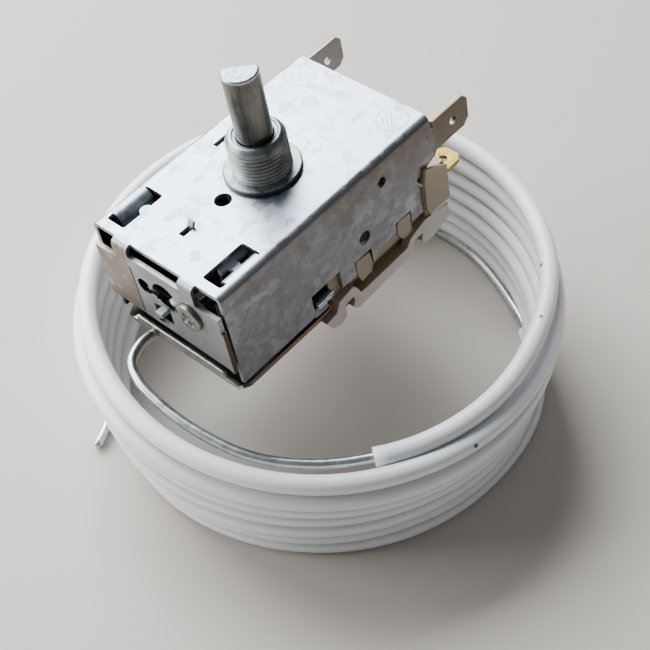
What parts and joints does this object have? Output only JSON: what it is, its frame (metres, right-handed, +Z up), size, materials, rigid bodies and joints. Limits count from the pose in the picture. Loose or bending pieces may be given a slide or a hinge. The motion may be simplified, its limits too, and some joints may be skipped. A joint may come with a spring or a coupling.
{
  "type": "refrigerator temperature control",
  "caption": "Capillary refrigerator temperature control: folded galvanised housing, threaded bushing and shaft, moulded contact block, and a white-sleeved capillary in a coil.",
  "frame": {"origin": "where the control shaft's axis crosses the upper face of the housing's top plate", "axes": "+Z up along the shaft, +Y from the shaft towards the terminals, +X across to the side wall that shows the contact block"},
  "size_m": [0.0824, 0.0838, 0.0731],
  "materials": {
    "galvanised_sheet": "spangled galvanised sheet, some tarnish",
    "bushing_zinc": "grey zinc die casting, threaded",
    "shaft_zinc": "satin grey zinc",
    "white_moulding": "moulded",
    "spring_steel": "blued spring steel",
    "lever_steel": "zinc plated",
    "bright_zinc": "bright zinc plate",
    "trim_nickel": "nickel plate",
    "beige_moulding": "glass filled moulding",
    "terminal_brass": "bare brass",
    "contact_silver": "silver",
    "blade_copper": "spring copper alloy",
    "element_nickel": "warm nickel plate, sheared edges",
    "capillary_tin": "tinned copper tube",
    "white_sleeve": "soft white vinyl sleeve"
  },
  "bodies": {
    "base": {"housing": "galvanised_sheet", "mounting_bushing": "bushing_zinc", "trim_nut": "lever_steel", "contact_block": "beige_moulding", "right_terminal": "terminal_brass", "middle_terminal": "terminal_brass", "left_terminal": "terminal_brass", "fixed_contact": "contact_silver", "element_plate": "element_nickel", "element_cup": "element_nickel", "bellows": "terminal_brass", "capillary_lead": "capillary_tin", "sleeve_start": "white_sleeve", "sleeve_coil": "white_sleeve", "sleeve_end": "white_sleeve", "capillary_tail": "capillary_tin"},
    "shaft": {"control_shaft": "shaft_zinc", "cam": "white_moulding", "shaft_clip": "spring_steel"},
    "range": {"range_lever": "lever_steel"},
    "range_adjuster": {"range_screw": "bright_zinc"},
    "trim": {"trim_screw": "trim_nickel"},
    "main": {"main_lever": "bright_zinc", "range_spring": "spring_steel"},
    "pin": {"push_pin": "white_moulding"},
    "blade": {"moving_blade": "blade_copper", "moving_contact": "contact_silver", "snap_spring": "spring_steel"},
    "button": {"push_button": "white_moulding"}
  },
  "joints": [
    {"name": "shaft_turn", "type": "hinge", "parent": "base", "child": "shaft", "pos_m": [0, 0, 0], "axis": [0, 0, 1], "range_deg": [-135, 135]},
    {"name": "range_rock", "type": "hinge", "parent": "base", "child": "range", "pos_m": [0, -0.0169, -0.0009], "axis": [1, 0, 0], "range_deg": [-4.1, 4.1], "deforming": ["range_spring"]},
    {"name": "range_screw_turn", "type": "hinge", "parent": "range", "child": "range_adjuster", "pos_m": [0.00275, -0.022, -0.0077], "axis": [0, -1, 0], "range_deg": [-180, 180]},
    {"name": "trim_screw_turn", "type": "hinge", "parent": "base", "child": "trim", "pos_m": [0.0069, -0.023, -0.0074], "axis": [0, -1, 0], "range_deg": [-180, 180]},
    {"name": "main_rock", "type": "hinge", "parent": "base", "child": "main", "pos_m": [0, -0.00445, -0.0176], "axis": [1, 0, 0], "range_deg": [0, 2.5], "stiffness_Nm_per_rad": 0.5, "springref_deg": -2.86, "deforming": ["range_spring"]},
    {"name": "pin_slide", "type": "slide", "parent": "base", "child": "pin", "axis": [0, 0, 1], "range_m": [0, 0.0006]},
    {"name": "blade_rock", "type": "hinge", "parent": "base", "child": "blade", "pos_m": [0, 0.0185, -0.0192], "axis": [1, 0, 0], "range_deg": [-3.1, 0]},
    {"name": "button_slide", "type": "slide", "parent": "base", "child": "button", "axis": [0, 0, 1], "range_m": [-0.0004, 0], "deforming": ["bellows"]}
  ],
  "couplings": [
    {"joint": "range_rock", "follows": "shaft_turn", "ratio": -0.02953},
    {"joint": "pin_slide", "follows": "main_rock", "m_per_rad": 0.01245},
    {"joint": "blade_rock", "follows": "main_rock", "ratio": -1.1857},
    {"joint": "button_slide", "follows": "main_rock", "m_per_rad": -0.00855}
  ]
}
